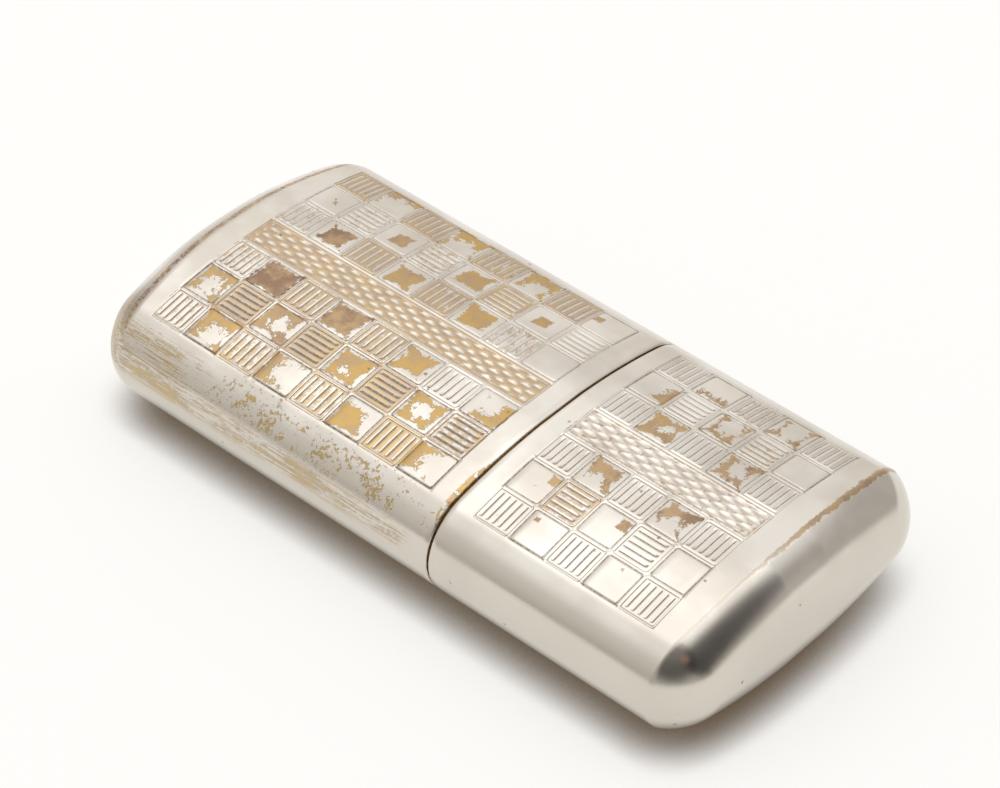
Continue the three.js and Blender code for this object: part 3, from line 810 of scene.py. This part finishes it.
def plain_cell_wear(n, at):
    """A star, pinched at the middle of each edge, with a silver island."""
    across, along = n.less(at.u, at.centre_x), n.less(at.v, at.centre_y)
    reach = n.most(*(
        n.plus(n.size(here), n.times(n.less(1.0, n.times(other, other)), STAR_PINCH))
        for here, other in ((across, along), (along, across))
    ))
    rough_edge = n.sway((at.jagged, 0.75), (at.lumpy, 0.8), (at.ragged, 0.25), (at.fine, 0.25))
    rough_edge = n.times(rough_edge, n.range(at.extent, 0.45, 0.85, 0.45, 1.0))
    star = n.range(n.plus(n.less(at.extent, reach), rough_edge), -0.03, 0.07)
    away = n.distance(n.less(at.u, at.island_x), n.less(at.v, at.island_y))
    ragged_edge = n.sway((at.ragged, 0.9), (at.jagged, 1.8), (at.fine, 0.3))
    island = n.range(n.plus(n.less(at.island_radius, away), ragged_edge), 0.0, 0.06)
    island = n.times(island, n.math("GREATER_THAN", at.island_radius, LEAST_ISLAND))
    return n.times(star, n.less(1.0, island), n.math("GREATER_THAN", at.extent, LEAST_STAR))


def striped_cell_wear(n, at):
    """Patches on the beads, with nickel left in most grooves."""
    patch = n.plus(n.times(at.jagged, 0.75), n.times(at.ragged, 0.25))
    threshold = n.range(at.extent, 0.0, 1.0, 0.28, 0.74)
    patches = n.range(n.less(threshold, patch), -0.06, 0.08)
    in_groove = n.plus(at.groove, n.sway((at.fine, 0.35), (at.ragged, 0.35)))
    return n.times(patches, n.range(in_groove, 0.14, 0.34, 0.8, 0.06))


def band_wear_and_shade(n, at):
    """Wear on the net between the hollows, and painted shade as brass on the hollows' walls that face +Y,
    inside the plain rim.
    """
    net_top = n.range(at.extent, 0.2, 0.9, -0.02, 0.4)
    net_top = n.plus(net_top, n.sway((at.jagged, 1.2), (at.ragged, 0.7)))
    net = n.range(n.less(net_top, at.groove), -0.1, 0.12, 0.12, 0.8)
    # Painted shade: brass on the walls facing +Y, so only the walls facing -Y keep bright nickel crescents
    shaded_walls = n.times(n.range(at.facing_y, 0.0, 0.14), n.range(at.extent, 0.0, 0.8, 0.1, 0.7))
    return n.times(n.most(net, shaded_walls), n.range(n.size(at.v), 0.95, 0.86))


def flecks(n, at):
    """Flecks beside the tank's pattern, in clusters along the near side."""
    level = n.plus(
        n.times(at.near_side, 0.105),
        0.33,
        n.range(at.x, -19.0, -14.0, -0.05, 0.02),
        n.range(at.x, 1.5, 4.5, 0.0, -0.06),
        n.times(at.near_side, n.range(at.lumpy, 0.36, 0.58, -0.055, 0.04)),
    )
    spots = n.range(n.less(level, at.speck), -0.01, 0.02)
    return n.times(spots, at.on_tank, n.range(at.from_middle, 1.7, 2.7))


def crease_wear(n, at):
    """Both creases rubbed through: a clean line on the cap, a broken one on the tank."""
    bow = n.times(at.y, at.y, 1 / HALF_WIDTH**2)
    wobble = n.times(n.less(at.jagged, 0.5), 0.9)
    cap_x = cap_shape.mouth + cap_shape.length - cap_shape.crease_back
    cap_off = n.plus(n.times(bow, CAP_END["crease_bow"]), n.less(at.x, cap_x), wobble)
    cap_width = n.range(at.y, -8.0, 8.0, 0.08, 0.24)
    cap_line = n.range(n.less(cap_width, n.size(cap_off)), -0.08, 0.06)
    cap_line = n.times(cap_line, n.range(at.y, -7.0, 3.0, 0.1, 0.9))
    body_x = body_shape.mouth - body_shape.length + body_shape.crease_back - BODY_LINE_PAST
    body_off = n.plus(n.times(bow, -BODY_END["crease_bow"]), n.less(at.x, body_x), n.times(wobble, 0.35))
    body_line = n.range(n.less(BODY_LINE_HALF, n.size(body_off)), -0.14, 0.1)
    body_line = n.times(body_line, n.range(at.speck, 0.42, 0.54, 0.4, 1.0))
    on_top = n.math("GREATER_THAN", at.from_middle, 3.0)
    return n.times(n.most(cap_line, body_line), on_top)


def seam_wear(n, at):
    """The tank's edge at the seam, rubbed through towards the near side."""
    width = n.times(n.range(at.y, -6.5, -9.5, 0.08, 0.6), n.range(at.z, 8.4, 9.3, 0.15, 1.0))
    edge = n.range(n.less(n.size(n.less(SEAM_X, at.x)), width), 0.12, -0.12)
    edge = n.times(edge, n.range(at.jagged, 0.48, 0.52))
    return n.times(edge, at.on_tank, n.range(at.y, 6.0, -8.0))


def rubbed_strip(n, at):
    """Fine streaks along the tank's near side, which reach higher towards the hidden end."""
    top = n.range(at.x, -19.0, -14.0, 9.7, 7.7)
    strip = n.times(n.range(n.less(at.z, top), 0.2, -0.7), n.range(at.z, 5.2, 6.1))
    strip = n.times(strip, n.range(at.y, -12.0, -13.2), n.range(at.x, 4.8, 2.5))
    level = n.plus(
        n.range(at.z, 6.2, 8.0, 0.49, 0.535),
        n.range(at.broad, 0.35, 0.65, 0.03, -0.03),
        n.range(at.x, -15.0, -25.0, 0.0, -0.035),
    )
    rubbed = n.sway((at.brushed, 0.55), (at.hairlines, 0.5), (at.speck, 0.35))
    streaks = n.range(n.less(n.plus(rubbed, 0.5), level), -0.015, 0.045, 0.0, 0.8)
    return n.times(streaks, strip)


def corner_wear(n, at):
    """The near corner of the hidden end, worn nearly bare."""
    corner = n.times(n.range(at.x, -26.0, -29.0), n.range(at.y, -9.0, -12.5))
    return n.times(corner, n.range(at.speck, 0.38, 0.50, 0.2, 0.95))


def plate_dirt_and_shade(n, at):
    """Dirt in the cut lines and pits; painted shade on one wall of each groove and in one row's grooves.
    """
    in_lines = n.times(n.range(at.groove, 0.17, 0.5), n.less(1.0, at.is_band), n.less(1.0, at.is_striped))
    in_lines = n.times(in_lines, n.range(at.ragged, 0.35, 0.6, 0.35, 0.9))
    # Painted shade in the groove bottoms of one row, on the tank
    shaded_row = n.range(n.size(n.plus(at.y, SHADED_ROW)), 1.75, 1.65)
    shaded_bottoms = n.times(n.range(at.groove, 0.3, 0.55), shaded_row, at.on_tank, 0.88)
    # Painted shadow on one wall of each groove: walls facing -X, or facing +Y past the crown's own tilt
    tilt_y = n.less(at.facing_y, n.times(at.y, 1 / CROWN_RADIUS))
    wall = n.most(n.range(at.facing_x, -0.03, -0.17), n.range(tilt_y, 0.04, 0.2))
    wall = n.times(wall, n.range(at.groove, 0.03, 0.12))
    groove_shade = n.times(n.most(shaded_bottoms, wall), at.is_striped, n.range(at.ragged, 0.35, 0.55, 0.6, 1.0))
    # All but the pits grow stronger towards the near side on the cap
    toward_near = n.blend(at.on_tank, 0.8, n.range(at.y, -4.5, -1.0, 0.95, 0.45))
    spots = n.add("ShaderNodeTexVoronoi", feature="F1")
    n.put(spots.inputs["Vector"], n.place())
    spots.inputs["Scale"].default_value = PITS_PER_MM
    pits = n.range(n.plus(n.times(at.ragged, 0.35), spots.outputs["Distance"]), 0.24, 0.19)
    return n.most(n.times(n.most(in_lines, groove_shade), toward_near), n.times(pits, 0.6))


def plated_metal():
    """Nickel plate over brass: worn through in the middle of the plain cells, on the beads of the
    striped ones, on the band's net and along the edges, with dirt in the cut lines and pits.
    Painted shade: brass on the band's hollow walls facing +Y, dark on one wall of each groove
    and in the grooves of one row. The nickel is darker towards the sides."""
    n = Nodes("worn_nickel_plate")
    at = plate_fields(n)
    # Wear, with painted shade on the band's hollow walls that face +Y
    worn_and_shaded = n.plus(
        n.times(plain_cell_wear(n, at), at.is_plain),
        n.times(striped_cell_wear(n, at), at.is_striped),
        n.times(band_wear_and_shade(n, at), at.is_band),
    )
    open_wear = (wear(n, at) for wear in (flecks, crease_wear, seam_wear, rubbed_strip, corner_wear))
    worn_and_shaded = n.math("MULTIPLY_ADD", n.most(*open_wear), at.is_open, worn_and_shaded, clamp=True)

    metal = n.mix(n.range(at.broad, 0.35, 0.65), NICKEL_LIGHT, NICKEL_DULL)
    metal = n.mix(n.times(n.range(at.fine, 0.55, 0.8), 0.25), metal, NICKEL_DULL)
    # Darker nickel towards the sides, from the broad faces down to mid-thickness
    metal = n.mix(n.range(at.from_middle, 4.9, 2.6, 0.0, 0.9), metal, NICKEL_SIDES)
    open_tone = n.blend(at.on_tank, 0.5, n.range(at.x, -29.0, -22.0, 0.8, 0.3))
    tone = n.blend(at.is_open, at.tone, open_tone)
    cloudy = n.range(n.noise(0.6, 3, 0.6, shift=(5, 8, 2)), 0.34, 0.66, -0.22, 0.22)
    grain = n.sway((at.ragged, 0.6), (at.fine, 0.6))
    shade = n.math("ADD", n.plus(tone, cloudy), grain, clamp=True)
    brass = n.mix(n.range(shade, 0.0, 0.5), GOLD, TAN)
    brass = n.mix(n.range(shade, 0.5, 1.0), brass, BROWN)
    brass = n.mix(n.times(at.near_side, at.is_open, 0.6), brass, OLIVE)
    # Dirt in the cut lines and pits, and painted shade in the grooves
    dirt_and_shade = plate_dirt_and_shade(n, at)
    colour = n.mix(dirt_and_shade, n.mix(worn_and_shaded, metal, brass), GRIME_AND_SHADE)

    plate_gloss = n.range(at.broad, 0.3, 0.7, 0.14, 0.22)
    gloss = n.blend(worn_and_shaded, plate_gloss, n.blend(at.is_plain, 0.25, 0.36))
    gloss = n.plus(n.times(n.less(at.brushed, 0.5), 0.12), gloss)
    gloss = n.blend(dirt_and_shade, gloss, 0.7)
    plate_edge = n.bump(n.less(1.0, worn_and_shaded), 0.6, 0.02)
    scratched = n.bump(at.brushed, 0.18, 0.02, plate_edge)
    grainy = n.bump(at.fine, 0.15, 0.008, scratched)
    return n.finish(Base_Color=colour, Metallic=n.less(1.0, dirt_and_shade), Roughness=gloss, Normal=grainy)


plate = plated_metal()
for skin, node, body in ((body_skin, "body_case", "body"), (cap_skin, "cap_shell", "cap")):
    skin.data.materials.clear()
    skin.data.materials.append(plate)
    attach(skin, body)
    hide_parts(node)


def dull_brass():
    n = Nodes("dull_brass")
    cloud = n.noise(0.5, 4, 0.6)
    turned = n.noise(2.0, 4, 0.7, stretch=(3, 0.6, 0.6))
    fine = n.noise(9, 4, 0.7)
    colour = n.mix(n.range(cloud, 0.35, 0.65), (0.72, 0.50, 0.20), (0.50, 0.31, 0.12))
    colour = n.mix(n.range(fine, 0.6, 0.75), colour, (0.22, 0.14, 0.07))
    gloss = n.range(turned, 0.3, 0.7, 0.26, 0.46)
    return n.finish(Base_Color=colour, Metallic=1.0, Roughness=gloss, Normal=n.bump(turned, 0.3, 0.01))


def bright_steel():
    n = Nodes("bright_steel")
    fine = n.noise(6, 5, 0.7)
    cloud = n.noise(0.9, 3, 0.6)
    colour = n.mix(n.range(cloud, 0.4, 0.7), (0.55, 0.54, 0.52), (0.33, 0.30, 0.27))
    gloss = n.range(fine, 0.3, 0.7, 0.28, 0.5)
    return n.finish(Base_Color=colour, Metallic=1.0, Roughness=gloss, Normal=n.bump(fine, 0.3, 0.01))


def grey_flint():
    n = Nodes("grey_flint")
    fine = n.noise(5, 5, 0.8)
    colour = n.mix(fine, (0.16, 0.155, 0.15), (0.36, 0.34, 0.32))
    return n.finish(Base_Color=colour, Metallic=0.6, Roughness=0.65, Normal=n.bump(fine, 0.6, 0.03))


def oiled_leather():
    n = Nodes("oiled_leather")
    pores = n.noise(7, 5, 0.75)
    colour = n.mix(pores, (0.10, 0.055, 0.03), (0.26, 0.14, 0.075))
    return n.finish(Base_Color=colour, Roughness=0.55, Normal=n.bump(pores, 0.6, 0.04))


def raw_cotton():
    n = Nodes("raw_cotton")
    fibres = n.noise(3, 6, 0.8, distortion=1.5)
    tuft = n.noise(0.6, 3, 0.6)
    colour = n.mix(tuft, (0.86, 0.80, 0.70), (0.66, 0.58, 0.46))
    colour = n.mix(n.range(fibres, 0.55, 0.8), colour, (0.45, 0.38, 0.29))
    return n.finish(Base_Color=colour, Roughness=0.95, Sheen_Weight=0.3, Normal=n.bump(fibres, 0.9, 0.12))


finishes = {
    "bare_brass": dull_brass(),
    "hard_steel": bright_steel(),
    "flint": grey_flint(),
    "leather": oiled_leather(),
    "cotton": raw_cotton(),
    "plated_case": plate,
}
slots = {part["node"]: part["material_slot"] for part in frame["record"]["subparts"]}
for node, slot in slots.items():
    cad = frame["nodes"][node]
    cad.data.materials.clear()
    cad.data.materials.append(finishes[slot])

# Wick: yarns twisted round a straight one, with a frayed end
OUTER_YARNS = 6
YARN_RADIUS = 0.44
YARN_RING = 0.88
YARN_SIDES = 10
YARN_RINGS = 120
YARN_TURN_MM = 9.0
FRAY_MM = 1.6
FIBRES = 110
FIBRE_RADIUS = 0.035
FIBRE_SIDES = 5
FIBRE_RINGS = 7
FIBRES_FROM = 1.15
FIBRES_TO = 1.42


def tube(centres, radii, sides):
    """Points and faces of a closed tube along a row of centres."""
    centres = np.array(centres)
    ahead = np.gradient(centres, axis=0)
    ahead /= np.linalg.norm(ahead, axis=1)[:, None]
    across = np.cross(ahead, (0.0, 0.0, 1.0))
    across /= np.linalg.norm(across, axis=1)[:, None]
    above = np.cross(ahead, across)
    turn = np.linspace(0, 2 * math.pi, sides, endpoint=False)
    ring = np.cos(turn)[None, :, None] * across[:, None] + np.sin(turn)[None, :, None] * above[:, None]
    points = (centres[:, None] + ring * np.array(radii)[:, None, None]).reshape(-1, 3)
    faces = []
    for i in range(len(centres) - 1):
        for j in range(sides):
            k = (j + 1) % sides
            faces.append([i * sides + j, i * sides + k, (i + 1) * sides + k, (i + 1) * sides + j])
    last = (len(centres) - 1) * sides
    faces.append(list(range(sides))[::-1])
    faces.append([last + j for j in range(sides)])
    return points, faces


def finish_soft(piece, node):
    """Smooth cotton on the body, in place of a node."""
    mesh = piece.data
    mesh.polygons.foreach_set("use_smooth", np.ones(len(mesh.polygons), bool))
    mesh.materials.clear()
    mesh.materials.append(finishes["cotton"])
    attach(piece, "body")
    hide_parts(node)


def twisted_wick():
    low, high = box_mm("wick")
    y, z = (low.y + high.y) / 2, (low.z + high.z) / 2
    fray_x = high.x - FRAY_MM
    chance = np.random.default_rng(7)
    points, faces = [], []

    def add(x, reach, angle, radii, sides):
        centres = np.stack([x, y + reach * np.cos(angle), z + reach * np.sin(angle)], axis=1)
        more, joined = tube(centres, radii, sides)
        faces.extend([[v + len(points) for v in face] for face in joined])
        points.extend(more)

    for k in range(OUTER_YARNS + 1):
        x = np.linspace(low.x + 0.01, fray_x + chance.uniform(0.2, 0.7), YARN_RINGS)
        angle = 2 * math.pi * ((x - low.x) / YARN_TURN_MM + k / OUTER_YARNS)
        ring = 0.0 if k == OUTER_YARNS else YARN_RING + 0.03 * np.sin(3 * angle)
        radii = YARN_RADIUS * (1 + 0.07 * np.sin(x * 9 + k)) * np.clip((x[-1] - x) / 0.5 + 0.35, 0, 1)
        add(x, ring, angle, radii, YARN_SIDES)
    for _ in range(FIBRES):
        angle = chance.uniform(0, 2 * math.pi)
        start = FIBRES_FROM * math.sqrt(chance.uniform(0, 1))
        spread = min(FIBRES_TO, start + chance.uniform(-0.15, 0.35))
        x = np.linspace(fray_x - 0.2, high.x - chance.uniform(0.0, 0.9), FIBRE_RINGS)
        share = np.linspace(0, 1, FIBRE_RINGS)
        reach = start + (spread - start) * share**1.6
        angle = angle + chance.uniform(-0.5, 0.5) * share
        add(x, reach, angle, FIBRE_RADIUS * (1 - 0.5 * share), FIBRE_SIDES)
    mesh = bpy.data.meshes.new("wick_yarns")
    mesh.from_pydata((np.array(points) * MM).tolist(), [], faces)
    finish_soft(link("wick_yarns", mesh), "wick")


# Wadding: voxel size and depth of its tufts, and the length and share of each wave in them
TUFT_VOXEL = 0.35
TUFT_DEPTH = 0.5
TUFT_WAVES = ((3.1, 0.45), (1.3, 0.35), (0.6, 0.2))


def tufted_wadding():
    """The block of wadding, with a lumpy surface pressed inward from its plain one."""
    source = frame["nodes"]["wadding"]
    piece = link("wadding_tufts", source.data.copy())
    piece.matrix_world = source.matrix_world.copy()
    remesh = piece.modifiers.new("remesh", "REMESH")
    remesh.mode = "VOXEL"
    remesh.voxel_size = TUFT_VOXEL * MM
    apply_modifiers(piece)
    mesh = piece.data
    co = read(mesh.vertices, "co", 3).astype(float)
    normal = read(mesh.vertices, "normal", 3).astype(float)
    depth = np.zeros(len(co))
    for k, (length, share) in enumerate(TUFT_WAVES):
        turn = 2 * math.pi / (length * MM)
        waves = [np.sin(co @ np.roll((0.8, 1.1, 0.9), k + j) * turn + j) for j in range(3)]
        depth += share * (0.5 + sum(waves) / 6)
    co -= normal * (depth * TUFT_DEPTH * MM)[:, None]
    mesh.vertices.foreach_set("co", co.astype(np.float32).ravel())
    finish_soft(piece, "wadding")


twisted_wick()
tufted_wadding()

# Camera
CAMERA_MM = (134.18, -148.96, 188.91)
CAMERA_LOOK = (-0.4977, 0.5532, -0.6681)
CAMERA_LENS = 129.46
CLIP_START = 5.0
camera = link("camera", bpy.data.cameras.new("camera"))
camera.data.lens = CAMERA_LENS
camera.data.clip_start = CLIP_START * MM
camera.location = Vector(CAMERA_MM) * MM
camera.rotation_euler = Vector(CAMERA_LOOK).to_track_quat("-Z", "Y").to_euler()
bpy.context.scene.camera = camera

# Floor: white paper, 6 m square, which dims a little far from the lighter and has a painted shadow beside
# it
FLOOR_HALF = 3000.0
DIM_FROM, DIM_TO = 130.0, 320.0
DIM_LEVEL = 0.8
# Reach of the painted contact shadow beside the lighter
SHADOW_REACH = 3.5
PAPER_SHADE = 0.42
PAPER_GLOW = 0.665
# Side that the painted shadow is lit from, and how much it is lifted in reflections
BRIGHT_SIDE = Vector((-0.32, 0.48, 0.86)).normalized()
MIRRORED_LIFT = 0.12
PAPER_WHITE = (1.0, 0.991, 0.975)
# Darkest colour of the painted shadow
SHADOW_BROWN = (0.16, 0.115, 0.07)
BLACK = (0.0, 0.0, 0.0)
floor_mesh = bpy.data.meshes.new("floor")
edge = FLOOR_HALF * MM
corners = [(-edge, -edge, 0), (edge, -edge, 0), (edge, edge, 0), (-edge, edge, 0)]
floor_mesh.from_pydata(corners, [], [(0, 1, 2, 3)])
floor = link("floor", floor_mesh)


def white_paper():
    """White paper, with a painted contact shadow, greyer and warmer, in the narrow gap right beside the
    lighter.
    """
    n = Nodes("white_paper")
    cloud = n.noise(0.02, 2, 0.5)
    path = n.add("ShaderNodeLightPath").outputs
    seen = n.most(path["Is Camera Ray"], path["Is Glossy Ray"], path["Is Transmission Ray"])
    # Painted contact shadow: ambient occlusion turned towards the lit side, lighter in reflections, tints
    # the paper's colour and glow
    openness = n.add("ShaderNodeAmbientOcclusion", samples=8)
    openness.inputs["Distance"].default_value = SHADOW_REACH * MM
    bright_side = n.add("ShaderNodeNormal").outputs[0]
    bright_side.default_value = BRIGHT_SIDE
    n.put(openness.inputs["Normal"], bright_side)
    open_sky = n.plus(n.times(path["Is Glossy Ray"], MIRRORED_LIFT), openness.outputs["AO"])
    shadow_tint = n.mix(n.range(open_sky, 0.2, 1.0), SHADOW_BROWN, PAPER_WHITE)
    colour = n.mix(cloud, (0.93, 0.905, 0.87), (0.90, 0.875, 0.84))
    colour = n.mix(seen, colour, n.mix(PAPER_SHADE, BLACK, shadow_tint))
    x, y, _ = n.split(n.place())
    far = n.range(n.distance(x, y), DIM_FROM, DIM_TO, 1.0, DIM_LEVEL)
    return n.finish(
        Base_Color=colour, Roughness=0.95, Specular_IOR_Level=0.1,
        Emission_Color=shadow_tint, Emission_Strength=n.times(seen, far, PAPER_GLOW),
    )


floor.data.materials.append(white_paper())

# World, as levels for light from each direction: lobes are axis, cosine at the edge, cosine in
# the middle and strength
LOW_LEVEL = 0.56
HIGH_LEVEL = 1.1
LIGHTER_LOBES = (
    ((-0.65, 0.72, 0.25), 0.75, 1.0, 0.38),
    ((-0.35, 0.10, 0.93), 0.91, 0.97, 0.5),
    ((-0.62, -0.62, 0.50), 0.82, 1.0, 0.24),
    ((-0.62, 0.45, 0.64), 0.972, 0.995, 0.2),
    ((0.30, 0.25, 0.92), 0.92, 0.98, 0.35),
)
DARK_LOBES = (
    ((0.86, 0.12, 0.49), 0.84, 0.96, 0.82),
    ((0.55, -0.55, 0.63), 0.72, 0.93, 0.75),
)
COPPER_GLINT = (0.72, -0.24, 0.65)


def white_room():
    """A white room, brightest overhead and dim near the floor, with dark corners at the right."""
    n = Nodes("room", bpy.data.worlds.new("room"))
    direction = n.add("ShaderNodeTexCoord").outputs["Generated"]
    height = n.split(direction)[2]
    level = n.range(height, 0.45, 0.95, LOW_LEVEL, HIGH_LEVEL)
    for axis, edge, middle, strength in LIGHTER_LOBES:
        level = n.plus(level, n.range(n.toward(direction, axis), edge, middle, 0.0, strength))
    for axis, edge, middle, strength in DARK_LOBES:
        level = n.times(level, n.range(n.toward(direction, axis), edge, middle, 1.0, 1.0 - strength))
    tint = n.mix(n.range(height, 0.2, 0.8), (1.0, 0.965, 0.92), (1.0, 0.99, 0.98))
    glint = n.range(n.toward(direction, COPPER_GLINT), 0.990, 0.998)
    tint = n.mix(glint, tint, (1.0, 0.6, 0.45))
    return n.finish(Color=tint, Strength=n.math("MULTIPLY_ADD", glint, 0.3, level))


bpy.context.scene.world = white_room()
bpy.context.scene.view_settings.view_transform = "Standard"
